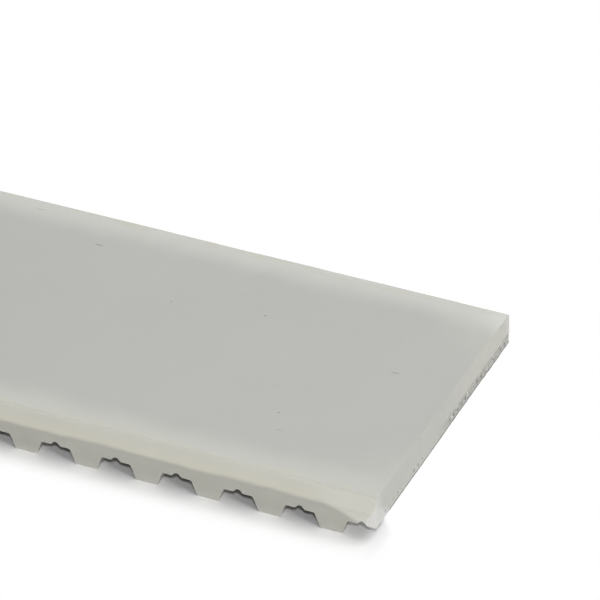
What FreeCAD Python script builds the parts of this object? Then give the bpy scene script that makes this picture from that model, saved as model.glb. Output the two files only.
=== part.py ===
"""Coated timing belt: an open-ended strip of toothed polyurethane belt with a thick soft cover on its back.

The belt lies with its teeth down. X runs along the belt, Y across it and Z up. The origin is in the middle of the
strip, on the plane of the tooth tips. All sizes are in millimetres.
"""

import FreeCAD
import Part
import math
import os

# Tooth form: the metric trapezoidal belt with a pitch of 10 mm
PITCH = 10.0
TOOTH_HEIGHT = 2.5
TOOTH_ROOT_WIDTH = 5.3
FLANK_INCLUDED_ANGLE = 40.0
TIP_RADIUS = 0.4
ROOT_RADIUS = 0.4

# Strip
TOOTH_COUNT = 12
BELT_WIDTH = 50.0
WEB_THICKNESS = 2.0

# Notch that the mould's cord support leaves in the roof of every tooth gap
NOTCH_WIDTH = 1.6
NOTCH_TOP_WIDTH = 0.5
NOTCH_DEPTH = 0.6
NOTCH_TOP_RADIUS = 0.3

# Steel tension cords, side by side on the pitch line
CORD_DIAMETER = 0.6
CORD_SPACING = 1.5
CORD_ABOVE_ROOT = 1.0
CORD_EDGE_MARGIN = 1.5

# Cover on the belt's back, and the film that bonds it
BOND_THICKNESS = 0.2
COVER_THICKNESS = 3.3
COVER_EDGE_RADIUS = 0.4

# Sizes that follow from the ones above
LENGTH = TOOTH_COUNT * PITCH
LEFT_END = -LENGTH / 2
RIGHT_END = LENGTH / 2
FRONT_SIDE = -BELT_WIDTH / 2
BACK_SIDE = BELT_WIDTH / 2
FLANK_RUN = TOOTH_HEIGHT * math.tan(math.radians(FLANK_INCLUDED_ANGLE / 2))
GAP_ROOT_WIDTH = PITCH - TOOTH_ROOT_WIDTH
ROOT_LEVEL = TOOTH_HEIGHT
BELT_BACK_LEVEL = ROOT_LEVEL + WEB_THICKNESS
BOND_TOP_LEVEL = BELT_BACK_LEVEL + BOND_THICKNESS
COVER_TOP_LEVEL = BOND_TOP_LEVEL + COVER_THICKNESS
CORD_LEVEL = ROOT_LEVEL + CORD_ABOVE_ROOT
CORD_COUNT = math.floor((BELT_WIDTH - 2 * CORD_EDGE_MARGIN) / CORD_SPACING) + 1

ALONG = FreeCAD.Vector(1, 0, 0)
ACROSS = FreeCAD.Vector(0, 1, 0)
SHARP = 0.0


def round_corner(before, point, after, radius):
    """Return where the rounding of a corner starts, its middle point and where it ends."""
    if radius == SHARP:
        return point, None, point
    back = (before - point).normalize()
    on = (after - point).normalize()
    half_angle = back.getAngle(on) / 2
    setback = radius / math.tan(half_angle)
    middle = point + (back + on).normalize() * (radius / math.sin(half_angle) - radius)
    return point + back * setback, middle, point + on * setback


def rounded_face(corners):
    """Make a flat face from its corners, each one a point with the radius that rounds it."""
    points = [point for point, radius in corners]
    rounded = []
    for index, (point, radius) in enumerate(corners):
        following = points[(index + 1) % len(points)]
        rounded.append(round_corner(points[index - 1], point, following, radius))
    edges = []
    for index, (start, middle, end) in enumerate(rounded):
        if middle is not None:
            edges.append(Part.Arc(start, middle, end).toShape())
        next_start = rounded[(index + 1) % len(rounded)][0]
        edges.append(Part.LineSegment(end, next_start).toShape())
    return Part.Face(Part.Wire(edges))


def on_side(x, z):
    """Point of the belt's long outline, on its front side."""
    return FreeCAD.Vector(x, FRONT_SIDE, z)


def tooth_corners(left, first_radius):
    """Corners of one tooth from left to right; its left foot is at the given x."""
    right = left + TOOTH_ROOT_WIDTH
    return [
        (on_side(left, ROOT_LEVEL), first_radius),
        (on_side(left + FLANK_RUN, 0), TIP_RADIUS),
        (on_side(right - FLANK_RUN, 0), TIP_RADIUS),
        (on_side(right, ROOT_LEVEL), ROOT_RADIUS),
    ]


def notch_corners(middle):
    """Corners of the cord-support notch in the roof of one tooth gap, from left to right."""
    top = ROOT_LEVEL + NOTCH_DEPTH
    return [
        (on_side(middle - NOTCH_WIDTH / 2, ROOT_LEVEL), SHARP),
        (on_side(middle - NOTCH_TOP_WIDTH / 2, top), NOTCH_TOP_RADIUS),
        (on_side(middle + NOTCH_TOP_WIDTH / 2, top), NOTCH_TOP_RADIUS),
        (on_side(middle + NOTCH_WIDTH / 2, ROOT_LEVEL), SHARP),
    ]


def cord_positions():
    """Places of the cords across the belt, evenly about its middle."""
    first = -(CORD_COUNT - 1) * CORD_SPACING / 2
    return [first + index * CORD_SPACING for index in range(CORD_COUNT)]


def tension_cord(y):
    """One steel cord, as long as the strip, cut flush with both ends."""
    start = FreeCAD.Vector(LEFT_END, y, CORD_LEVEL)
    return Part.makeCylinder(CORD_DIAMETER / 2, LENGTH, start, ALONG)


def toothed_belt(cords):
    """Base belt: web and teeth in one moulding, with a channel where each cord is embedded.

    The strip starts at the foot of its first tooth and is cut at the end of its last gap.
    """
    corners = []
    for index in range(TOOTH_COUNT):
        left = LEFT_END + index * PITCH
        corners += tooth_corners(left, ROOT_RADIUS if index else SHARP)
        corners += notch_corners(left + TOOTH_ROOT_WIDTH + GAP_ROOT_WIDTH / 2)
    corners += [
        (on_side(RIGHT_END, ROOT_LEVEL), SHARP),
        (on_side(RIGHT_END, BELT_BACK_LEVEL), SHARP),
        (on_side(LEFT_END, BELT_BACK_LEVEL), SHARP),
    ]
    moulding = rounded_face(corners).extrude(ACROSS * BELT_WIDTH)
    return moulding.cut(Part.makeCompound(cords))


def bond_film():
    """Film of adhesive over the whole back of the base belt."""
    corner = FreeCAD.Vector(LEFT_END, FRONT_SIDE, BELT_BACK_LEVEL)
    return Part.makeBox(LENGTH, BELT_WIDTH, BOND_THICKNESS, corner)


def cover():
    """Soft cover: a flat slab trimmed square all round, with its two long top edges slightly rounded."""
    corners = [
        (FreeCAD.Vector(LEFT_END, FRONT_SIDE, BOND_TOP_LEVEL), SHARP),
        (FreeCAD.Vector(LEFT_END, BACK_SIDE, BOND_TOP_LEVEL), SHARP),
        (FreeCAD.Vector(LEFT_END, BACK_SIDE, COVER_TOP_LEVEL), COVER_EDGE_RADIUS),
        (FreeCAD.Vector(LEFT_END, FRONT_SIDE, COVER_TOP_LEVEL), COVER_EDGE_RADIUS),
    ]
    return rounded_face(corners).extrude(ALONG * LENGTH)


def main():
    """Build every piece and write each one to its own file."""
    cords = [tension_cord(y) for y in cord_positions()]
    pieces = {"toothed_belt": toothed_belt(cords), "bond_film": bond_film(), "cover": cover()}
    for number, cord in enumerate(cords, start=1):
        pieces[f"tension_cord_{number:02d}"] = cord
    os.makedirs("parts", exist_ok=True)
    for name, shape in pieces.items():
        shape.exportStep(os.path.join("parts", f"{name}.step"))
        print(f"{name}: {len(shape.Solids)} solid, valid {shape.isValid()}, {shape.Volume:.2f} mm3")


main()
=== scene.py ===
"""Looks of a coated timing belt: a strip of toothed polyurethane belt with a soft cover bonded to its back.

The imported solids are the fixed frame. A finished piece stands for each of them and shows how the real one was
made, from the trimmed cover to the sheared cords.
"""

import logging
import math
import random
from collections.abc import Callable, Iterable
from dataclasses import dataclass, field
from enum import Enum

import bmesh
import bpy
from mathutils import Matrix, Vector, noise


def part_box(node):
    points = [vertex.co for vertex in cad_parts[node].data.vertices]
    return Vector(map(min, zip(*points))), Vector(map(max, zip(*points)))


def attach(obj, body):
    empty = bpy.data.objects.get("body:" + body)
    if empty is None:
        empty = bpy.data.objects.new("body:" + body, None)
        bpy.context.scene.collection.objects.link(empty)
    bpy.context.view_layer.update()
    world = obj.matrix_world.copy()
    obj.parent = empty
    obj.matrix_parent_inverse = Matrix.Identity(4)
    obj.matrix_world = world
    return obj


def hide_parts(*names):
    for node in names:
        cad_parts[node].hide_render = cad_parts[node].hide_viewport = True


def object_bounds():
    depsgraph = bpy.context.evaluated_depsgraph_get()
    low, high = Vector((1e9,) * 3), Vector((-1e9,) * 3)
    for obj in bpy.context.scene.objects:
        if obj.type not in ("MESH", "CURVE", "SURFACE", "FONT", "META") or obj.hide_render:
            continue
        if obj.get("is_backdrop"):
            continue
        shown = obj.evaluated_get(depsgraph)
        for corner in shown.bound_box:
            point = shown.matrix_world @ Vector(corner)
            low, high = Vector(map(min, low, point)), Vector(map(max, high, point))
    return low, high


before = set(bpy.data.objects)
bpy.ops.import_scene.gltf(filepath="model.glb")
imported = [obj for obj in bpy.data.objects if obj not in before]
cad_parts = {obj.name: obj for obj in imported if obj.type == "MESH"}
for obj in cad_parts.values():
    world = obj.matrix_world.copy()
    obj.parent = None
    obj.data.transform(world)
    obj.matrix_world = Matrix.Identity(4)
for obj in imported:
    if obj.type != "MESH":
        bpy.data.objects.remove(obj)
CAD_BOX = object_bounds()

LOG = logging.getLogger("coated_timing_belt")
BODY = "root"
MM = 0.001
CUT_END = "cut_end"
SHARP_ANGLE = math.radians(38)
LENGTHWISE = Matrix.Rotation(math.pi / 2, 4, "Y")

# When two places in metres are the same, and when a face looks along an axis
TOUCH = 1e-6
SAME_DIGITS = 7
SQUARE_ON = 0.999

# Smooth noise: its middle, its swing and the step along each axis from one seed to the next
NOISE_MIDDLE = 0.5
NOISE_SWING = 0.75
SEED_STEPS = (1.0, 1.7, 2.3)

Triple = tuple[float, float, float]
Colour = tuple[float, float, float, float]
Tree = bpy.types.NodeTree
Node = bpy.types.Node
Socket = bpy.types.NodeSocket
Paint = str | Socket
BMesh = bmesh.types.BMesh
BMFace = bmesh.types.BMFace
BMEdge = bmesh.types.BMEdge


class Axis(Enum):
    """Directions of the part's frame: along the belt, across it and up."""

    ALONG = 0
    ACROSS = 1
    UP = 2

    @property
    def direction(self) -> Vector:
        """Unit vector of the axis."""
        return Vector([float(self.value == place) for place in range(3)])


class Twist(Enum):
    """Hand of a cord's twist; neighbouring cords alternate so that the belt tracks straight."""

    S = 1
    Z = -1


def linear(colour: str) -> Colour:
    """Turn an sRGB hex colour into linear values.

    Args:
        colour: Six hex digits after a hash sign.

    Returns:
        Linear red, green and blue, with an alpha of 1.
    """
    shares = [int(colour[place:place + 2], 16) / 255 for place in (1, 3, 5)]
    red, green, blue = [s / 12.92 if s <= 0.04045 else ((s + 0.055) / 1.055) ** 2.4 for s in shares]
    return red, green, blue, 1.0


def scale_for(size_mm: float) -> float:
    """Texture scale, on coordinates in metres, at which a pattern repeats about every size_mm."""
    return 1 / (size_mm * MM)


def add_node(tree: Tree, kind: str, inputs: dict[str | int, object] | None = None, **settings: str) -> Node:
    """Add one node with its settings and links.

    Args:
        tree: Node tree that gets the node.
        kind: Blender's name for the type of node.
        inputs: Input socket name or number, with the value to set or the output socket to link.
        settings: Attributes of the node itself.

    Returns:
        The new node.
    """
    node = tree.nodes.new(kind)
    for name, value in settings.items():
        setattr(node, name, value)
    for socket, value in (inputs or {}).items():
        if isinstance(value, Socket):
            tree.links.new(value, node.inputs[socket])
        else:
            node.inputs[socket].default_value = value
    return node


@dataclass(frozen=True)
class Canvas:
    """Node tree of one material, with the piece's own coordinates, which are the part's frame in metres.

    place is the point and up its height. across goes from the front side to the back. along and aside are the
    distances from the middle of the strip, towards its ends and towards its long sides.
    """

    tree: Tree
    place: Socket
    along: Socket
    across: Socket
    aside: Socket
    up: Socket

    @classmethod
    def on(cls, tree: Tree) -> "Canvas":
        """Add the nodes that read the coordinates.

        Args:
            tree: Node tree of the material.

        Returns:
            The canvas to paint on.
        """
        place = add_node(tree, "ShaderNodeTexCoord").outputs["Object"]
        unsigned = add_node(tree, "ShaderNodeVectorMath", {0: place}, operation="ABSOLUTE").outputs["Vector"]
        parts = add_node(tree, "ShaderNodeSeparateXYZ", {"Vector": place}).outputs
        distances = add_node(tree, "ShaderNodeSeparateXYZ", {"Vector": unsigned}).outputs
        return cls(tree, place, distances["X"], parts["Y"], distances["Y"], parts["Z"])

    def cut_ends(self) -> Socket:
        """Share that is 1 on the faces marked as cut ends and 0 elsewhere."""
        return add_node(self.tree, "ShaderNodeAttribute", attribute_name=CUT_END).outputs["Fac"]

    def coated(self, ground: Paint, *coats: tuple[Socket, Paint]) -> Socket:
        """Lay coats of colour over a ground.

        Args:
            ground: Colour under all coats.
            coats: For each coat the share of it that shows and its colour, the lowest coat first.

        Returns:
            Socket with the colour that the eye sees.
        """
        for share, colour in coats:
            under, over = (linear(paint) if isinstance(paint, str) else paint for paint in (ground, colour))
            mixed = add_node(self.tree, "ShaderNodeMix", {0: share, 6: under, 7: over}, data_type="RGBA")
            ground = mixed.outputs[2]
        return ground


@dataclass(frozen=True)
class Mottle:
    """Irregular pattern of a real size, such as clouds, streaks or grain.

    The pattern's values from low to high are spread over the range from least to most. A stretch below 1
    draws it out along that axis.
    """

    size_mm: float
    low: float = 0.3
    high: float = 0.7
    least: float = 0.0
    most: float = 1.0
    stretch: Triple = (1.0, 1.0, 1.0)
    detail: float = 4.0

    def share(self, canvas: Canvas) -> Socket:
        """Draw the pattern.

        Args:
            canvas: Canvas of the material.

        Returns:
            Socket with values from least to most.
        """
        tree = canvas.tree
        drawn = add_node(tree, "ShaderNodeMapping", {"Vector": canvas.place, "Scale": self.stretch})
        grain = {"Vector": drawn.outputs["Vector"], "Scale": scale_for(self.size_mm), "Detail": self.detail}
        pattern = add_node(tree, "ShaderNodeTexNoise", grain)
        limits = {"From Min": self.low, "From Max": self.high, "To Min": self.least, "To Max": self.most}
        spread = add_node(tree, "ShaderNodeMapRange", {"Value": pattern.outputs["Fac"], **limits})
        return spread.outputs["Result"]


@dataclass(frozen=True)
class Border:
    """Soft border between two colours, as uneven as a hand-trimmed one.

    What lies past the border goes from none at start_mm to all at end_mm, and both wander by up to wander_mm.
    """

    start_mm: float
    end_mm: float
    wander_mm: float
    wave_mm: float = 8.0

    def share(self, canvas: Canvas, length: Socket) -> Socket:
        """Draw the border across a length.

        Args:
            canvas: Canvas of the material.
            length: Socket with the length in metres.

        Returns:
            Socket with the share past the border, from 0 to 1.
        """
        half = self.wander_mm / 2 * MM
        waves = Mottle(self.wave_mm, low=0.0, high=1.0, least=-half, most=half).share(canvas)
        uneven = add_node(canvas.tree, "ShaderNodeMath", {0: length, 1: waves}, operation="ADD")
        limits = {"From Min": self.start_mm * MM, "From Max": self.end_mm * MM}
        value = {"Value": uneven.outputs[0], **limits}
        past = add_node(canvas.tree, "ShaderNodeMapRange", value, interpolation_type="SMOOTHSTEP")
        return past.outputs["Result"]


@dataclass(frozen=True)
class CreamBorder:
    """Where the cover's cream ends on the long sides: along the glue line, and lower near the strip's ends.

    Each finish that meets at the line uses it, so that the border runs on from piece to piece.
    """

    height: Border = Border(4.35, 5.35, 1.5, 7.0)
    ends: Border = Border(50.0, 60.0, 1.0)
    drop_mm: float = 2.2
    cream: str = "#d1cfc1"
    pale_cream: str = "#d6d5cb"
    paling: Border = Border(47.0, 55.0, 3.0)

    def share(self, canvas: Canvas) -> Socket:
        """Draw the border.

        Args:
            canvas: Canvas of the material.

        Returns:
            Socket with the share of cream, from 0 on the teeth to 1 on the cover.
        """
        terms = {0: self.ends.share(canvas, canvas.along), 1: self.drop_mm * MM, 2: canvas.up}
        lifted = add_node(canvas.tree, "ShaderNodeMath", terms, operation="MULTIPLY_ADD")
        return self.height.share(canvas, lifted.outputs[0])

    def colour(self, canvas: Canvas, ground: Paint | None = None) -> Socket:
        """Paint the cream, paler near the ends of the strip.

        Args:
            canvas: Canvas of the material.
            ground: Colour away from the ends, where it isn't plain cream.

        Returns:
            Socket with the colour.
        """
        near_end = self.paling.share(canvas, canvas.along)
        return canvas.coated(ground or self.cream, (near_end, self.pale_cream))


@dataclass(frozen=True)
class PaleWedge:
    """Corner of the strip painted paler: all that lies past a leaning plane."""

    lean: Triple = (-1.93, 0.8, 1.0)
    edge: Border = Border(-128.6, -129.8, 0.8, 2.0)
    on_side: str = "#e1e0dd"
    on_end: str = "#d2d2ce"

    def share(self, canvas: Canvas) -> Socket:
        """Draw the corner on a place's distance along the plane's normal.

        Args:
            canvas: Canvas of the material.

        Returns:
            Socket with the share of the paler colour, from 0 to 1.
        """
        terms = {0: canvas.place, 1: self.lean}
        along_normal = add_node(canvas.tree, "ShaderNodeVectorMath", terms, operation="DOT_PRODUCT")
        return self.edge.share(canvas, along_normal.outputs["Value"])


@dataclass(frozen=True)
class Specks:
    """Sparse dark specks in a flat surface, from dust to fine scratches, each of its own strength.

    The blur is the share of its radius over which a speck fades, on either side of its rim. Those that draw
    a chance below faintest don't show.
    """

    spacing_mm: float
    radius_mm: float
    stretch: Triple = (1.0, 1.0, 1.0)
    blur: float = 0.5
    faintest: float = 0.55

    def share(self, canvas: Canvas) -> Socket:
        """Scatter the specks.

        Args:
            canvas: Canvas of the material.

        Returns:
            Socket with the share of a speck's colour.
        """
        tree = canvas.tree
        drawn = add_node(tree, "ShaderNodeMapping", {"Vector": canvas.place, "Scale": self.stretch})
        spacing = {"Vector": drawn.outputs["Vector"], "Scale": scale_for(self.spacing_mm)}
        spots = add_node(tree, "ShaderNodeTexVoronoi", spacing, voronoi_dimensions="2D")
        radius = self.radius_mm / self.spacing_mm
        limits = {"From Min": radius * (1 + self.blur), "From Max": radius * (1 - self.blur)}
        near = add_node(tree, "ShaderNodeMapRange", {"Value": spots.outputs["Distance"], **limits})
        draw = add_node(tree, "ShaderNodeSeparateColor", {"Color": spots.outputs["Color"]})
        chance = {"Value": draw.outputs["Red"], "From Min": self.faintest}
        strength = add_node(tree, "ShaderNodeMapRange", chance)
        both = {0: near.outputs["Result"], 1: strength.outputs["Result"]}
        return add_node(tree, "ShaderNodeMath", both, operation="MULTIPLY").outputs[0]


@dataclass(frozen=True)
class Relief:
    """Shallow relief that a pattern leaves on a surface."""

    pattern: Mottle
    strength: float
    depth_mm: float


@dataclass(frozen=True)
class Depth:
    """How light goes into a plastic: the share that does, how far it gets, its tint inside and the IOR."""

    share: float
    reach_mm: float
    tint: Triple = (1.0, 0.95, 0.8)
    ior: float = 1.5

    def values(self) -> dict[str, float | Triple]:
        """Values for the shader's own sockets."""
        inside = {"Weight": self.share, "Radius": self.tint, "Scale": self.reach_mm * MM}
        return {"IOR": self.ior, **{f"Subsurface {name}": value for name, value in inside.items()}}


@dataclass(frozen=True)
class Finish:
    """What all finishes share: a named material around one Principled shader, with a sheen and reliefs.

    A plastic has a depth, and a finish without one is a metal.
    """

    name: str
    sheen: Mottle
    reliefs: tuple[Relief, ...] = ()
    depth: Depth | None = None

    def material(self) -> bpy.types.Material:
        """Make the material on first use.

        Returns:
            The material with its node tree painted.
        """
        if self.name in bpy.data.materials:
            return bpy.data.materials[self.name]
        material = bpy.data.materials.new(self.name)
        material.use_nodes = True
        tree = material.node_tree
        tree.nodes.clear()
        body = self.depth.values() if self.depth else {"Metallic": 1.0}
        shader = add_node(tree, "ShaderNodeBsdfPrincipled", body)
        add_node(tree, "ShaderNodeOutputMaterial", {"Surface": shader.outputs["BSDF"]})
        canvas = Canvas.on(tree)
        tree.links.new(self.colour(canvas), shader.inputs["Base Color"])
        tree.links.new(self.sheen.share(canvas), shader.inputs["Roughness"])
        self.emboss(canvas, shader)
        return material

    def colour(self, canvas: Canvas) -> Socket:
        """Paint the finish.

        Args:
            canvas: Canvas of the material.

        Returns:
            Socket with the colour.
        """
        raise NotImplementedError

    def emboss(self, canvas: Canvas, shader: Node) -> None:
        """Raise the reliefs on the surface, each on top of the one before.

        Args:
            canvas: Canvas of the material.
            shader: Shader that shows the reliefs.
        """
        below = {}
        for relief in self.reliefs:
            inputs = {"Strength": relief.strength, "Distance": relief.depth_mm * MM, **below}
            inputs["Height"] = relief.pattern.share(canvas)
            below = {"Normal": add_node(canvas.tree, "ShaderNodeBump", inputs).outputs["Normal"]}
        for socket, normal in below.items():
            canvas.tree.links.new(normal, shader.inputs[socket])


@dataclass(frozen=True)
class CastPolyurethane(Finish):
    """Soft cover: cast polyurethane of natural colour, ground flat on top and trimmed along its edges.

    The grey of the belt and its cords shows through the translucent slab. Its edges have no cords under them,
    so they are paler, and the light they take from the side is painted on them as a glow. The trimmed sides are
    cream. Painted light and shade stand in for how the light falls: lighter corners, highlights near the back
    corners, highlight streaks along the rims and shade on the rounded long edges. Grinding leaves a satin face
    with a fine grain, which is drawn about twice as coarse as the grit so that it shows.
    """

    name: str = "cast_polyurethane_natural"
    sheen: Mottle = Mottle(1.1, least=0.42, most=0.52)
    reliefs: tuple[Relief, ...] = (
        Relief(Mottle(1.1, low=0.0, high=1.0), 0.12, 0.05),
        Relief(Mottle(0.22, low=0.0, high=1.0), 0.12, 0.02),
    )
    depth: Depth | None = Depth(0.15, 0.5)
    over_cords: str = "#b9bab5"
    cloud: str = "#bfc0ba"
    # Painted light: the top grows lighter towards the corners, where more light falls.
    painted_corner_light: str = "#c4c4be"
    # Partly the paler margin with no cords under it, partly a painted glow of the light the edges take from the
    # side.
    pale_edge_and_glow: str = "#cecfc9"
    # Painted highlight where the back rim catches the light near the back corners.
    back_corner_highlight: str = "#d9d9d4"
    front_edge_and_glow: str = "#c8c9c2"
    # Painted highlight: broken streaks of light along the rounded rims.
    painted_highlight_streak: str = "#cac8bc"
    # Painted shade on the rounded long edges, so that they catch no more light than the faces beside them.
    painted_edge_shade: str = "#bfbeb5"
    side_top: str = "#cecdc3"
    beside_glue: str = "#b6b5ac"
    cut_end: str = "#bbbbb4"
    warm_end: str = "#c2c1b8"
    pale_end: str = "#cccbc5"
    speck: str = "#5c5b55"
    creaminess: CreamBorder = CreamBorder()
    # Near corner painted paler past a leaning plane.
    pale_wedge: PaleWedge = PaleWedge()
    clouds: Mottle = Mottle(16.0, most=0.4)
    # Pattern of the painted highlight streaks, laid only on the rim below.
    streaks: Mottle = Mottle(1.6, low=0.4, high=0.6, most=0.7, stretch=(0.2, 1.0, 1.0))
    corner: Border = Border(66.0, 82.0, 4.0)
    band: Border = Border(18.3, 24.2, 2.4)
    back_corner_highlight_reach: Border = Border(77.0, 84.0, 1.5)
    rim: Border = Border(22.4, 24.6, 1.0)
    edge_shade_width: Border = Border(24.46, 24.64, 0.05, 3.0)
    front: Border = Border(-15.0, -22.0, 4.0)
    trimmed: Border = Border(7.88, 7.52, 0.05, 3.0)
    deeper_cream: Border = Border(7.4, 5.4, 0.8)
    warmer: Border = Border(-2.0, 18.0, 5.0)
    end_rim: Border = Border(22.0, 25.2, 0.6, 3.0)
    dust: Specks = Specks(13.0, 0.12)
    scratches: Specks = Specks(7.0, 0.08, stretch=(0.12, 1.0, 1.0))

    def colour(self, canvas: Canvas) -> Socket:
        """Paint the slab's tone, light and shade by its distance from the edges and corners, with faint clouds
        and specks.

        Args:
            canvas: Canvas of the material.

        Returns:
            Socket with the colour.
        """
        tree, across, aside, up = canvas.tree, canvas.across, canvas.aside, canvas.up
        reach = add_node(tree, "ShaderNodeMath", {0: aside, 1: canvas.along}, operation="ADD")
        back_reach = add_node(tree, "ShaderNodeMath", {0: across, 1: canvas.along}, operation="ADD")
        # Painted highlight streaks, only on the rims.
        on_highlight_rim = {0: self.streaks.share(canvas), 1: self.rim.share(canvas, aside)}
        highlight_streak_share = add_node(tree, "ShaderNodeMath", on_highlight_rim, operation="MULTIPLY")
        edge = canvas.coated(self.pale_edge_and_glow, (self.front.share(canvas, across), self.front_edge_and_glow))
        in_pale_wedge = self.pale_wedge.share(canvas)
        deepening = self.deeper_cream.share(canvas, up), self.creaminess.cream
        cream = self.creaminess.colour(canvas, canvas.coated(self.side_top, deepening))
        side = canvas.coated(
            self.beside_glue,
            (self.creaminess.share(canvas), cream),
            (in_pale_wedge, self.pale_wedge.on_side),
        )
        end = canvas.coated(
            self.cut_end,
            (self.warmer.share(canvas, across), self.warm_end),
            (self.end_rim.share(canvas, aside), self.pale_end),
            (in_pale_wedge, self.pale_wedge.on_end),
        )
        return canvas.coated(
            self.over_cords,
            (self.clouds.share(canvas), self.cloud),
            # Painted light towards the corners.
            (self.corner.share(canvas, reach.outputs[0]), self.painted_corner_light),
            # Paler edge band: partly no cords under it, partly painted glow.
            (self.band.share(canvas, aside), edge),
            # Painted highlight near the back corners.
            (self.back_corner_highlight_reach.share(canvas, back_reach.outputs[0]), self.back_corner_highlight),
            (highlight_streak_share.outputs[0], self.painted_highlight_streak),
            # Painted shade on the rounded long edges.
            (self.edge_shade_width.share(canvas, aside), self.painted_edge_shade),
            (self.dust.share(canvas), self.speck),
            (self.scratches.share(canvas), self.speck),
            (self.trimmed.share(canvas, up), side),
            (canvas.cut_ends(), end),
        )


@dataclass(frozen=True)
class MouldedPolyurethane(Finish):
    """Base belt: thermoplastic polyurethane from a grooved mould, greyish white with a satin skin.

    The slitting knife leaves pale sides with fine lines, which are drawn a few times as coarse as they are so
    that they show. The tips are painted paler, as painted light that lifts the shade near the floor, and the
    cut ends are torn, with painted shade along their bottom edge. The skin is darker than the sides, partly as
    painted shade in the tooth gaps.
    """

    name: str = "moulded_polyurethane_grey_white"
    sheen: Mottle = Mottle(0.3, least=0.42, most=0.56, stretch=(0.03, 1.0, 1.0))
    reliefs: tuple[Relief, ...] = (
        Relief(Mottle(0.3, low=0.0, high=1.0, stretch=(0.03, 1.0, 1.0)), 0.25, 0.03),
        Relief(Mottle(0.25, low=0.0, high=1.0), 0.15, 0.02),
    )
    depth: Depth | None = Depth(0.12, 0.6)
    # Partly the moulded skin's own grey, partly painted shade: darker than the slit sides to deepen the shade
    # in the tooth gaps.
    skin: str = "#9a9994"
    slit_side: str = "#b6b5ac"
    shade: str = "#b0afa6"
    # Painted light: the tips are lighter to lift the shade near the floor.
    painted_tip_light: str = "#bbbab2"
    clean_end: str = "#bdbdb6"
    end_tear: str = "#a8a7a0"
    end_fleck: str = "#d2d2ce"
    # Painted shade along the bottom edge of the cut ends.
    painted_bottom_shade: str = "#504f4a"
    creaminess: CreamBorder = CreamBorder()
    # Near corner painted paler past a leaning plane.
    pale_wedge: PaleWedge = PaleWedge()
    clouds: Mottle = Mottle(7.0, low=0.35)
    tears: Mottle = Mottle(0.7, low=0.53, high=0.68)
    slit: Border = Border(24.8, 24.92, 0.02)
    tips: Border = Border(1.7, 0.1, 0.4)
    stroke: Border = Border(-2.0, 4.0, 12.0, 5.0)
    bottom_shade_height: Border = Border(2.82, 2.62, 0.06)

    def colour(self, canvas: Canvas) -> Socket:
        """Cloud the skin, pale the sides, paint light on the tips, and colour the cut ends.

        The ends are clean where the blade went in, torn and flecked where it came out, and have painted
        shade along the bottom edge.

        Args:
            canvas: Canvas of the material.

        Returns:
            Socket with the colour.
        """
        in_pale_wedge = self.pale_wedge.share(canvas)
        side = canvas.coated(
            self.slit_side,
            (self.clouds.share(canvas), self.shade),
            (self.creaminess.share(canvas), self.creaminess.colour(canvas)),
            (in_pale_wedge, self.pale_wedge.on_side),
        )
        torn = canvas.coated(self.end_tear, (self.tears.share(canvas), self.end_fleck))
        end = canvas.coated(
            self.clean_end,
            (self.stroke.share(canvas, canvas.across), torn),
            # Painted shade along the bottom edge.
            (self.bottom_shade_height.share(canvas, canvas.up), self.painted_bottom_shade),
            (in_pale_wedge, self.pale_wedge.on_end),
        )
        return canvas.coated(
            # Skin colour, partly painted shade in the tooth gaps.
            self.skin,
            (self.slit.share(canvas, canvas.aside), side),
            # Painted light on the tips.
            (self.tips.share(canvas, canvas.up), self.painted_tip_light),
            (canvas.cut_ends(), end),
        )


@dataclass(frozen=True)
class MeltedFilm(Finish):
    """Glue line: a melted film of adhesive, a little glossy where it squeezed out, coloured as beside it."""

    name: str = "melted_adhesive_film"
    sheen: Mottle = Mottle(3.0, least=0.3, most=0.5)
    depth: Depth | None = Depth(0.2, 0.5, tint=(1.0, 0.9, 0.6), ior=1.48)
    over_belt: str = "#b6b5ac"
    cut_end: str = "#bbbbb4"
    creaminess: CreamBorder = CreamBorder()
    # Near corner painted paler past a leaning plane.
    pale_wedge: PaleWedge = PaleWedge()

    def colour(self, canvas: Canvas) -> Socket:
        """Vary the film between the cream above it and the grey below.

        Args:
            canvas: Canvas of the material.

        Returns:
            Socket with the colour.
        """
        in_pale_wedge = self.pale_wedge.share(canvas)
        return canvas.coated(
            self.over_belt,
            (self.creaminess.share(canvas), self.creaminess.colour(canvas)),
            (in_pale_wedge, self.pale_wedge.on_side),
            (canvas.cut_ends(), canvas.coated(self.cut_end, (in_pale_wedge, self.pale_wedge.on_end))),
        )


@dataclass(frozen=True)
class DrawnSteel(Finish):
    """Cord: drawn steel wire, zinc grey with dull marks, and a warmer grey at the sheared ends.

    The marks of the drawing die are too fine to show and are drawn far coarser.
    """

    name: str = "drawn_steel_wire"
    sheen: Mottle = Mottle(0.5, least=0.3, most=0.5)
    wire: str = "#a9aaac"
    dull: str = "#86868a"
    sheared: str = "#a6a5a1"
    draw_marks: Mottle = Mottle(0.5, low=0.0, high=1.0)
    shear: Border = Border(59.3, 59.7, 0.1)

    def colour(self, canvas: Canvas) -> Socket:
        """Mark the wire and warm its ends.

        Args:
            canvas: Canvas of the material.

        Returns:
            Socket with the colour.
        """
        return canvas.coated(
            self.wire,
            (self.draw_marks.share(canvas), self.dull),
            (self.shear.share(canvas, canvas.along), self.sheared),
        )


def box_mesh(low: Vector, high: Vector) -> BMesh:
    """Start a mesh from a cube stretched between two corners.

    Args:
        low: Lowest corner.
        high: Highest corner.

    Returns:
        The new mesh, which the caller frees.
    """
    bm = bmesh.new()
    bmesh.ops.create_cube(bm, size=1.0)
    bmesh.ops.scale(bm, vec=high - low, verts=bm.verts)
    bmesh.ops.translate(bm, vec=(low + high) / 2, verts=bm.verts)
    return bm


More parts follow.
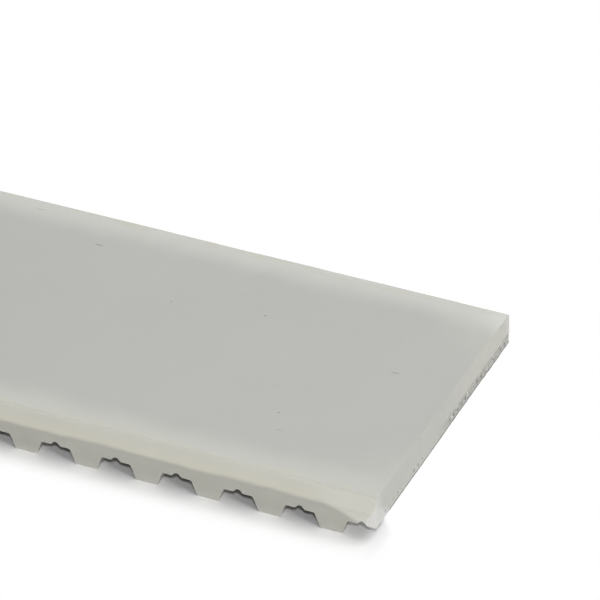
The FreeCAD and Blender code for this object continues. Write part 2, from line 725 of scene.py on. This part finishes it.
def even_places(low: float, high: float, step: float) -> list[float]:
    """Places between two ends, evenly apart by about a step, without the ends."""
    count = max(1, round((high - low) / step))
    return [low + (high - low) * index / count for index in range(1, count)]


def slice_across(bm: BMesh, faces: Iterable[BMFace], axis: Axis, places: Iterable[float]) -> None:
    """Cut faces by planes so that they can take fine shape.

    Args:
        bm: Mesh that holds the faces.
        faces: Faces to cut.
        axis: Axis that the planes stand across.
        places: Where the planes are along the axis.
    """
    kept = set(faces)
    geometry = [*kept, *{e for f in kept for e in f.edges}, *{v for f in kept for v in f.verts}]
    for place in places:
        cut = bmesh.ops.bisect_plane(
            bm, geom=geometry, dist=TOUCH * MM, plane_co=axis.direction * place, plane_no=axis.direction
        )
        geometry = cut["geom"]


def facing(bm: BMesh, axis: Axis) -> list[BMFace]:
    """Faces that look along an axis, either way."""
    bm.normal_update()
    return [face for face in bm.faces if abs(face.normal[axis.value]) > SQUARE_ON]


def mark_ends(bm: BMesh) -> None:
    """Mark the faces of the two cut ends for the finishes.

    Args:
        bm: Mesh of a piece that goes from end to end.
    """
    mark = bm.faces.layers.float.new(CUT_END)
    for face in facing(bm, Axis.ALONG):
        face[mark] = 1.0


def lines_along(bm: BMesh, axis: Axis, chosen: Callable[[Vector], bool]) -> list[BMEdge]:
    """Edges that run along an axis and whose middle is chosen.

    Args:
        bm: Mesh that holds the edges.
        axis: Axis that they run along.
        chosen: Test of an edge's middle point.

    Returns:
        The edges found.
    """
    found = []
    for edge in bm.edges:
        start, end = (vertex.co for vertex in edge.verts)
        run = end - start
        if abs(abs(run[axis.value]) - run.length) < TOUCH and chosen((start + end) / 2):
            found.append(edge)
    return found


def round_lines(bm: BMesh, lines: list[BMEdge], setback: float, steps: int) -> None:
    """Round edges of a mesh.

    Args:
        bm: Mesh that holds the edges.
        lines: Edges to round.
        setback: How far from the edge its rounding starts.
        steps: Number of flats that make up the round.
    """
    bmesh.ops.bevel(
        bm,
        geom=lines,
        offset=setback,
        offset_type="OFFSET",
        segments=steps,
        profile=0.5,
        affect="EDGES",
        material=-1,
    )


def share_past(value: float, start: float, end: float) -> float:
    """Rise smoothly from 0 to 1 while a value goes from start to end."""
    share = min(1.0, max(0.0, (value - start) / (end - start)))
    return share * share * (3 - 2 * share)


@dataclass(frozen=True)
class Unevenness:
    """Smooth noise from 0 to a share, with a wave length of its own along each axis.

    The seed sets it apart from others.
    """

    waves_mm: Triple
    seed: float
    share: float = 1.0

    def at(self, place: Vector) -> float:
        """Work out the noise at one point.

        Args:
            place: Point in metres.

        Returns:
            The noise at that point.
        """
        scaled = Vector([part / (wave * MM) for part, wave in zip(place, self.waves_mm)])
        start = Vector([self.seed * step for step in SEED_STEPS])
        return self.share * min(1.0, max(0.0, NOISE_MIDDLE + NOISE_SWING * noise.noise(scaled + start)))


@dataclass
class Piece:
    """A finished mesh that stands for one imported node."""

    name: str
    node: str
    slot: str
    finish: Finish

    def shape(self) -> BMesh:
        """Model the piece in the part's frame, in metres."""
        raise NotImplementedError

    def build(self) -> bpy.types.Object:
        """Make the object, dress it and put it on the belt in place of its node.

        Returns:
            The finished object.
        """
        bm = self.shape()
        bmesh.ops.recalc_face_normals(bm, faces=bm.faces)
        mesh = bpy.data.meshes.new(self.name)
        bm.to_mesh(mesh)
        bm.free()
        mesh.polygons.foreach_set("use_smooth", [True] * len(mesh.polygons))
        mesh.set_sharp_from_angle(angle=SHARP_ANGLE)
        mesh.materials.append(self.finish.material())
        piece = bpy.data.objects.new(self.name, mesh)
        bpy.context.scene.collection.objects.link(piece)
        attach(piece, BODY)
        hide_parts(self.node)
        return piece


@dataclass
class SoftCover(Piece):
    """Cover slab with slightly rounded long edges, uneven where it was ground, trimmed and cut."""

    name: str = "soft_cover"
    node: str = "cover"
    slot: str = "cover_polyurethane"
    finish: Finish = field(default_factory=CastPolyurethane)
    edge_radius: float = 0.4 * MM
    edge_steps: int = 4
    grid: float = 1.0 * MM
    side_grid: float = 0.5 * MM
    grinding_depth: float = 0.04 * MM
    grinding: Unevenness = Unevenness((24.0, 17.0, 20.0), 3.1)
    trim_depth: float = 0.14 * MM
    trim_reach: float = 2.5 * MM
    coarse_trim: Unevenness = Unevenness((9.0, 40.0, 4.0), 7.7, share=0.65)
    fine_trim: Unevenness = Unevenness((2.6, 40.0, 1.6), 1.9, share=0.35)
    cut_depth: float = 0.06 * MM
    cut_reach: float = 1.2 * MM
    cutting: Unevenness = Unevenness((40.0, 3.5, 1.4), 5.3)

    def shape(self) -> BMesh:
        """Round the long top edges of a slab, divide it and make it uneven.

        Returns:
            Mesh of the cover.
        """
        low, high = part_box(self.node)
        bm = box_mesh(low, high)
        long_edges = lines_along(bm, Axis.ALONG, lambda middle: middle.z > high.z - TOUCH)
        round_lines(bm, long_edges, self.edge_radius, self.edge_steps)
        slice_across(bm, bm.faces, Axis.ALONG, even_places(low.x, high.x, self.grid))
        flat = low.y + self.edge_radius, high.y - self.edge_radius
        slice_across(bm, bm.faces, Axis.ACROSS, even_places(*flat, self.grid))
        slice_across(bm, bm.faces, Axis.UP, even_places(low.z, high.z - self.edge_radius, self.side_grid))
        mark_ends(bm)
        for vertex in bm.verts:
            vertex.co = self.settled(vertex.co.copy(), low, high)
        return bm

    def settled(self, place: Vector, low: Vector, high: Vector) -> Vector:
        """Move a point of the slab to where grinding, trimming and cutting left it.

        Args:
            place: Point of the true slab.
            low: Slab's lowest corner.
            high: Slab's highest corner.

        Returns:
            The point, moved only inwards.
        """
        moved = place.copy()
        lift = share_past(place.z, low.z, high.z)
        moved.z -= lift * self.grinding_depth * self.grinding.at(place)
        beside = share_past(abs(place.y), high.y - self.trim_reach, high.y)
        trim = self.coarse_trim.at(place) + self.fine_trim.at(place)
        moved.y -= math.copysign(beside * lift * self.trim_depth * trim, place.y)
        past = share_past(abs(place.x), high.x - self.cut_reach, high.x)
        moved.x -= math.copysign(past * self.cut_depth * self.cutting.at(place), place.x)
        return moved


@dataclass
class GlueLine(Piece):
    """Film of adhesive whose long edges squeezed out into a fine uneven bead."""

    name: str = "glue_line"
    node: str = "bond_film"
    slot: str = "bond_adhesive"
    finish: Finish = field(default_factory=MeltedFilm)
    grid: float = 0.6 * MM
    bead_width: float = 0.4 * MM
    bead_steps: int = 3
    squeeze_depth: float = 0.02 * MM
    squeeze: Unevenness = Unevenness((3.2, 40.0, 40.0), 9.4)
    swell: float = 0.02 * MM
    end_recess: float = 0.04 * MM

    def shape(self) -> BMesh:
        """Divide a thin slab along its length and work its long edges into beads.

        Returns:
            Mesh of the glue line.
        """
        low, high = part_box(self.node)
        thickness = high.z - low.z
        bm = box_mesh(low, high)
        slice_across(bm, bm.faces, Axis.ALONG, even_places(low.x, high.x, self.grid))
        inner = high.y - self.bead_width
        slice_across(bm, bm.faces, Axis.ACROSS, [-inner, inner])
        bead_places = even_places(low.z, high.z, thickness / self.bead_steps)
        slice_across(bm, facing(bm, Axis.ACROSS), Axis.UP, bead_places)
        mark_ends(bm)
        middle = (low.z + high.z) / 2
        for vertex in bm.verts:
            place = vertex.co.copy()
            if abs(place.y) > inner + TOUCH:
                drawn_in = self.squeeze.at(place)
                vertex.co.y -= math.copysign(self.squeeze_depth * drawn_in, place.y)
                vertex.co.z += (place.z - middle) / thickness * 2 * self.swell * (1 - drawn_in)
            if abs(place.x) > high.x - TOUCH:
                vertex.co.x -= math.copysign(self.end_recess, place.x)
        return bm


@dataclass
class MouldedBelt(Piece):
    """Base belt: web and teeth in one moulding, with a cord-support notch in the roof of every gap.

    Its ends were cut from the front side to the back. They are cleaner up to stroke_start and torn most from
    stroke_end on.
    """

    name: str = "moulded_belt"
    node: str = "toothed_belt"
    slot: str = "base_polyurethane"
    finish: Finish = field(default_factory=MouldedPolyurethane)
    pitch: float = 10.0 * MM
    tooth_height: float = 2.5 * MM
    tooth_root_width: float = 5.3 * MM
    flank_angle: float = math.radians(20)
    tooth_radius: float = 0.4 * MM
    tooth_steps: int = 5
    notch_width: float = 1.6 * MM
    notch_top_width: float = 0.5 * MM
    notch_depth: float = 0.6 * MM
    notch_radius: float = 0.3 * MM
    notch_steps: int = 3
    side_grid: float = 0.5 * MM
    end_grid: float = 0.25 * MM
    slit_depth: float = 0.06 * MM
    slit_below_glue: float = 1.0 * MM
    slitting: Unevenness = Unevenness((8.0, 40.0, 1.5), 2.2)
    end_recess: float = 0.05 * MM
    tear_depth: float = 0.14 * MM
    clean_share: float = 0.3
    stroke_start: float = -4.0 * MM
    stroke_end: float = 6.0 * MM
    coarse_tear: Unevenness = Unevenness((40.0, 5.0, 2.0), 4.6, share=0.5)
    fine_tear: Unevenness = Unevenness((40.0, 0.7, 0.6), 8.8, share=0.5)

    def corners(self, low: Vector, high: Vector) -> list[Triple]:
        """Outline of the belt's side, from the first tooth to the cut end and back along the top.

        Args:
            low: Belt's lowest corner.
            high: Belt's highest corner.

        Returns:
            For each corner its place along the belt, its height and the radius that rounds it.
        """
        root = low.z + self.tooth_height
        run = self.tooth_height * math.tan(self.flank_angle)
        outline = []
        for index in range(round((high.x - low.x) / self.pitch)):
            left = low.x + index * self.pitch
            right = left + self.tooth_root_width
            notch = (right + left + self.pitch) / 2
            outline += [
                (left, root, self.tooth_radius if index else 0.0),
                (left + run, low.z, self.tooth_radius),
                (right - run, low.z, self.tooth_radius),
                (right, root, self.tooth_radius),
                (notch - self.notch_width / 2, root, 0.0),
                (notch - self.notch_top_width / 2, root + self.notch_depth, self.notch_radius),
                (notch + self.notch_top_width / 2, root + self.notch_depth, self.notch_radius),
                (notch + self.notch_width / 2, root, 0.0),
            ]
        return outline + [(high.x, root, 0.0), (high.x, high.z, 0.0), (low.x, high.z, 0.0)]

    def shape(self) -> BMesh:
        """Extrude the side outline across the belt, round its corners and work the cut faces.

        Returns:
            Mesh of the base belt.
        """
        low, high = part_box(self.node)
        outline = self.corners(low, high)
        bm = bmesh.new()
        front = [bm.verts.new((x, low.y, z)) for x, z, _ in outline]
        grown = bmesh.ops.extrude_face_region(bm, geom=[bm.faces.new(front)])
        back = [part for part in grown["geom"] if isinstance(part, bmesh.types.BMVert)]
        bmesh.ops.translate(bm, vec=Axis.ACROSS.direction * (high.y - low.y), verts=back)
        self.round_corners(bm, outline)
        bmesh.ops.recalc_face_normals(bm, faces=bm.faces)
        for side, axis, step in (
            (Axis.ACROSS, Axis.UP, self.side_grid),
            (Axis.ACROSS, Axis.ALONG, self.side_grid),
            (Axis.ALONG, Axis.UP, self.end_grid),
            (Axis.ALONG, Axis.ACROSS, self.end_grid),
        ):
            places = even_places(low[axis.value], high[axis.value], step)
            slice_across(bm, facing(bm, side), axis, places)
        mark_ends(bm)
        for vertex in bm.verts:
            vertex.co = self.worked(vertex.co.copy(), high)
        return bm

    def round_corners(self, bm: BMesh, outline: list[Triple]) -> None:
        """Round the lines across the belt at the corners that have a radius.

        Args:
            bm: Mesh of the extruded belt.
            outline: Corners that the mesh was extruded from.
        """
        notch_turn = math.atan2(self.notch_depth, (self.notch_width - self.notch_top_width) / 2)
        turns = {
            self.tooth_radius: (math.pi / 2 - self.flank_angle, self.tooth_steps),
            self.notch_radius: (notch_turn, self.notch_steps),
        }
        for radius, (turn, steps) in turns.items():
            rounded = {self.spot(x, z) for x, z, size in outline if size == radius}
            lines = lines_along(bm, Axis.ACROSS, lambda middle: self.spot(middle.x, middle.z) in rounded)
            round_lines(bm, lines, radius * math.tan(turn / 2), steps)

    def spot(self, x: float, z: float) -> tuple[float, float]:
        """Place in the outline, rounded so that the same one is found again."""
        return round(x, SAME_DIGITS), round(z, SAME_DIGITS)

    def worked(self, place: Vector, high: Vector) -> Vector:
        """Move a point of the moulding to where slitting and cutting left it.

        Args:
            place: Point of the true moulding.
            high: Belt's highest corner.

        Returns:
            The point, moved only inwards.
        """
        moved = place.copy()
        if abs(place.y) > high.y - TOUCH:
            under_glue = share_past(high.z - place.z, 0.0, self.slit_below_glue)
            moved.y -= math.copysign(under_glue * self.slit_depth * self.slitting.at(place), place.y)
        if abs(place.x) > high.x - TOUCH:
            torn = self.coarse_tear.at(place) + self.fine_tear.at(place)
            stroke = share_past(place.y, self.stroke_start, self.stroke_end)
            stroke = self.clean_share + (1 - self.clean_share) * stroke
            moved.x -= math.copysign(self.end_recess + self.tear_depth * stroke * torn, place.x)
        return moved


@dataclass
class StrandedCord(Piece):
    """One tension cord: six wires twisted round a core, sheared at both ends.

    A stub stands for each sheared wire. The range of its depth, how far it is set back and how far a whole
    end is smeared over are shares of tip_room.
    """

    name: str = "stranded_cord"
    node: str = "tension_cord"
    slot: str = "cord_steel"
    finish: Finish = field(default_factory=DrawnSteel)
    twist: Twist = Twist.S
    outer_wires: int = 6
    wires_across: int = 3
    points_per_wire: int = 3
    lay_length: float = 6.0 * MM
    steps_per_turn: int = 9
    valley: float = 0.76
    tip_room: float = 0.12 * MM
    tip_depth: tuple[float, float] = (1.05, 2.0)
    set_back: float = 0.7
    smear: float = 0.55
    tip_sides: int = 6
    seed: int = 1

    def shape(self) -> BMesh:
        """Twist a six-lobed outline along the belt and set the sheared wires on both ends.

        Returns:
            Mesh of the cord.
        """
        low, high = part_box(self.node)
        middle, radius = (low + high) / 2, (high.y - low.y) / 2
        start = Vector((low.x + self.tip_room, middle.y, middle.z))
        length = high.x - low.x - 2 * self.tip_room
        bm = bmesh.new()
        ring = bmesh.ops.create_circle(
            bm,
            segments=self.outer_wires * self.points_per_wire,
            radius=radius,
            matrix=Matrix.Translation(start) @ LENGTHWISE,
        )["verts"]
        for vertex in ring[::self.points_per_wire]:
            vertex.co = start.lerp(vertex.co, self.valley)
        steps = round(length / self.lay_length * self.steps_per_turn)
        bmesh.ops.spin(
            bm,
            geom=list(bm.edges),
            cent=start,
            axis=Axis.ALONG.direction,
            dvec=Axis.ALONG.direction * (length / steps),
            angle=self.twist.value * 2 * math.pi * length / self.lay_length,
            steps=steps,
        )
        bmesh.ops.holes_fill(bm, edges=[edge for edge in bm.edges if edge.is_boundary])
        self.add_tips(bm, low, high)
        return bm

    def add_tips(self, bm: BMesh, low: Vector, high: Vector) -> None:
        """Set a short stub for each sheared wire on both ends of the cord.

        Args:
            bm: Mesh of the cord.
            low: Cord's lowest corner.
            high: Cord's highest corner.
        """
        draw = random.Random(self.seed)
        middle, radius = (low + high) / 2, (high.y - low.y) / 2
        wire = radius / self.wires_across
        for end, inwards in ((low.x, 1), (high.x, -1)):
            spots = [Vector((0.0, 0.0))]
            first = draw.uniform(0, 2 * math.pi)
            smeared_over = draw.uniform(0.0, self.smear)
            for index in range(self.outer_wires):
                angle = first + index * 2 * math.pi / self.outer_wires
                spots.append(Vector((math.cos(angle), math.sin(angle))) * wire * 2)
            for spot in spots:
                depth = self.tip_room * draw.uniform(*self.tip_depth)
                outer = end + inwards * self.tip_room * (draw.uniform(0.0, self.set_back) + smeared_over)
                centre = outer + inwards * depth / 2, middle.y + spot.x, middle.z + spot.y
                bmesh.ops.create_cone(
                    bm,
                    cap_ends=True,
                    segments=self.tip_sides,
                    radius1=wire,
                    radius2=wire,
                    depth=depth,
                    matrix=Matrix.Translation(centre) @ LENGTHWISE,
                )


def direction_from(azimuth: float, elevation: float) -> Vector:
    """Direction from the belt to a viewer or lamp.

    Args:
        azimuth: Degrees round from the belt's front side towards its +X end.
        elevation: Degrees above the floor.

    Returns:
        Unit vector towards it.
    """
    turn, rise = math.radians(azimuth), math.radians(elevation)
    return Vector((math.sin(turn) * math.cos(rise), -math.cos(turn) * math.cos(rise), math.sin(rise)))


@dataclass(frozen=True)
class Softbox:
    """A square lamp with diffusing cloth, aimed at the belt.

    Angles are in degrees, lengths in metres and the power in watts. One without sheen leaves no glare on a
    satin face.
    """

    name: str
    azimuth: float
    elevation: float
    distance: float
    width: float
    power: float
    sheen: bool = True

    def build(self) -> None:
        """Hang the lamp."""
        lamp = bpy.data.lights.new(self.name, "AREA")
        lamp.shape = "SQUARE"
        lamp.size = self.width
        lamp.energy = self.power
        stand = bpy.data.objects.new(self.name, lamp)
        towards = direction_from(self.azimuth, self.elevation)
        stand.location = towards * self.distance
        stand.rotation_euler = towards.to_track_quat("Z", "Y").to_euler()
        stand.visible_camera = False
        stand.visible_glossy = self.sheen
        bpy.context.scene.collection.objects.link(stand)


@dataclass(frozen=True)
class Studio:
    """Pale floor, soft light and the camera.

    The floor keeps the belt's shadow up to white_from_mm beside it and is plain white from white_by_mm on.
    Past the ends it whitens end_quickness times as fast. Behind the front corners, where end_light rises, the
    white reaches end_reach_mm further under the ends.
    """

    floor_half: float = 3.0
    floor_bounce: str = "#8c8c8c"
    white: str = "#ffffff"
    white_strength: float = 1.0
    white_from_mm: float = 1.0
    white_by_mm: float = 5.6
    end_quickness: float = 3.0
    end_reach_mm: float = 3.2
    end_light: Border = Border(-23.0, -18.0, 0.0)
    fill_strength: float = 0.1
    softboxes: tuple[Softbox, ...] = (
        Softbox("key", azimuth=28.0, elevation=43.5, distance=2.4, width=0.1, power=13.6),
        Softbox("card", azimuth=15.0, elevation=2.0, distance=0.8, width=0.05, power=2.45, sheen=False),
        Softbox("ceiling", azimuth=45.0, elevation=66.0, distance=2.0, width=0.7, power=2.2),
        Softbox("side", azimuth=72.0, elevation=20.0, distance=1.5, width=0.3, power=7.2, sheen=False),
        Softbox("window", azimuth=113.0, elevation=55.0, distance=2.0, width=1.3, power=22.2),
        Softbox("rear", azimuth=225.0, elevation=8.0, distance=1.5, width=0.35, power=13.3, sheen=False),
    )
    camera_azimuth: float = 25.41
    camera_elevation: float = 35.60
    camera_roll: float = -1.627
    camera_distance: float = 900 * MM
    camera_aim: Triple = (26.22 * MM, 22.25 * MM, 3.0 * MM)
    camera_clip: tuple[float, float] = (10 * MM, 20.0)
    lens_mm: float = 351.2

    def build(self) -> None:
        """Set up everything round the belt."""
        bpy.context.scene.view_settings.view_transform = "Standard"
        self.lay_floor()
        self.light_world()
        for softbox in self.softboxes:
            softbox.build()
        self.aim_camera()

    def backdrop_share(self, tree: Tree) -> Socket:
        """Tell rays that look at the backdrop, straight or in a reflection, from light that bounces.

        Args:
            tree: Node tree of the floor or the world.

        Returns:
            Socket with 1 for rays that look and 0 for the others.
        """
        path = add_node(tree, "ShaderNodeLightPath")
        share = path.outputs["Is Camera Ray"]
        for kind in ("Is Glossy Ray", "Is Transmission Ray"):
            either = {0: share, 1: path.outputs[kind]}
            share = add_node(tree, "ShaderNodeMath", either, operation="MAXIMUM").outputs[0]
        return share

    def clear_share(self, canvas: Canvas) -> Socket:
        """Find where the floor is clear of the belt.

        Args:
            canvas: Canvas of the floor.

        Returns:
            Socket with 0 beside the belt, where the floor takes its shadow, rising to 1 away from it.
        """
        tree = canvas.tree
        reach = {0: self.end_light.share(canvas, canvas.across), 1: self.end_reach_mm * MM}
        under_end = add_node(tree, "ShaderNodeMath", reach, operation="MULTIPLY")
        shift = add_node(tree, "ShaderNodeCombineXYZ", {"X": under_end.outputs[0]})
        gap = canvas.place
        for operation, *others in (
            ("ABSOLUTE",),
            ("SUBTRACT", CAD_BOX[1]),
            ("ADD", shift.outputs[0]),
            ("MAXIMUM", (0.0, 0.0, 0.0)),
            ("MULTIPLY", (self.end_quickness, 1.0, 1.0)),
        ):
            terms = dict(enumerate((gap, *others)))
            gap = add_node(tree, "ShaderNodeVectorMath", terms, operation=operation).outputs["Vector"]
        away = add_node(tree, "ShaderNodeVectorMath", {0: gap}, operation="LENGTH").outputs["Value"]
        limits = {"From Min": self.white_from_mm * MM, "From Max": self.white_by_mm * MM}
        value = {"Value": away, **limits}
        share = add_node(tree, "ShaderNodeMapRange", value, interpolation_type="SMOOTHSTEP")
        return share.outputs["Result"]

    def lay_floor(self) -> None:
        """Lay a matt floor under the tooth tips that keeps the belt's shadow and is white away from it."""
        material = bpy.data.materials.new("matt_white_floor")
        material.use_nodes = True
        tree = material.node_tree
        tree.nodes.clear()
        canvas = Canvas.on(tree)
        seen = self.backdrop_share(tree)
        colour = canvas.coated(self.floor_bounce, (seen, self.white))
        matt = add_node(tree, "ShaderNodeBsdfDiffuse", {"Color": colour}).outputs[0]
        glow = {"Color": linear(self.white), "Strength": self.white_strength}
        white = add_node(tree, "ShaderNodeEmission", glow).outputs[0]
        both = {0: seen, 1: self.clear_share(canvas)}
        clear = add_node(tree, "ShaderNodeMath", both, operation="MULTIPLY").outputs[0]
        surface = add_node(tree, "ShaderNodeMixShader", {0: clear, 1: matt, 2: white})
        add_node(tree, "ShaderNodeOutputMaterial", {"Surface": surface.outputs[0]})
        bm = bmesh.new()
        bmesh.ops.create_grid(bm, x_segments=1, y_segments=1, size=self.floor_half)
        mesh = bpy.data.meshes.new("floor")
        bm.to_mesh(mesh)
        bm.free()
        mesh.materials.append(material)
        floor = bpy.data.objects.new("floor", mesh)
        bpy.context.scene.collection.objects.link(floor)
        floor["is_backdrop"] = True

    def light_world(self) -> None:
        """Fill the shadows from all round, and show white past the floor."""
        world = bpy.data.worlds.new("studio")
        bpy.context.scene.world = world
        world.use_nodes = True
        tree = world.node_tree
        tree.nodes.clear()
        shaders = {0: self.backdrop_share(tree)}
        for place, strength in enumerate((self.fill_strength, self.white_strength), start=1):
            light = {"Color": linear(self.white), "Strength": strength}
            shaders[place] = add_node(tree, "ShaderNodeBackground", light).outputs[0]
        either = add_node(tree, "ShaderNodeMixShader", shaders)
        add_node(tree, "ShaderNodeOutputWorld", {"Surface": either.outputs[0]})

    def aim_camera(self) -> None:
        """Place the camera at the photograph's angle, with its long lens."""
        camera = bpy.data.cameras.new("camera")
        camera.lens = self.lens_mm
        camera.clip_start, camera.clip_end = self.camera_clip
        back = direction_from(self.camera_azimuth, self.camera_elevation)
        upright = back.to_track_quat("Z", "Y").to_matrix()
        rolled = upright @ Matrix.Rotation(math.radians(self.camera_roll), 3, "Z")
        eye = Vector(self.camera_aim) + back * self.camera_distance
        stand = bpy.data.objects.new("camera", camera)
        stand.matrix_world = Matrix.LocRotScale(eye, rolled, None)
        bpy.context.scene.collection.objects.link(stand)
        bpy.context.scene.camera = stand


def cord_pieces() -> list[StrandedCord]:
    """One stranded cord for each packed cord, twisted left and right in turn.

    Returns:
        The cords from the front side to the back.
    """
    nodes = sorted(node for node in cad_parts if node.startswith("tension_cord"))
    hands = list(Twist)
    return [
        StrandedCord(name=f"stranded_cord_{number:02d}", node=node, twist=hands[number % 2], seed=number)
        for number, node in enumerate(nodes, start=1)
    ]


def write_sizes() -> None:
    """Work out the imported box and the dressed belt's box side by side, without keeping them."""
    boxes = {"cad": CAD_BOX, "visual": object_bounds()}
    {name: [list(corner) for corner in box] for name, box in boxes.items()}


def main() -> None:
    """Build the belt's pieces and the studio in order, and report each piece."""
    logging.basicConfig(level=logging.INFO, format="%(name)s: %(message)s")
    for piece in (SoftCover(), GlueLine(), MouldedBelt(), *cord_pieces()):
        faces = len(piece.build().data.polygons)
        LOG.info("%s stands for %s with %d faces", piece.name, piece.node, faces)
    Studio().build()
    write_sizes()


if __name__ == "__main__":
    main()
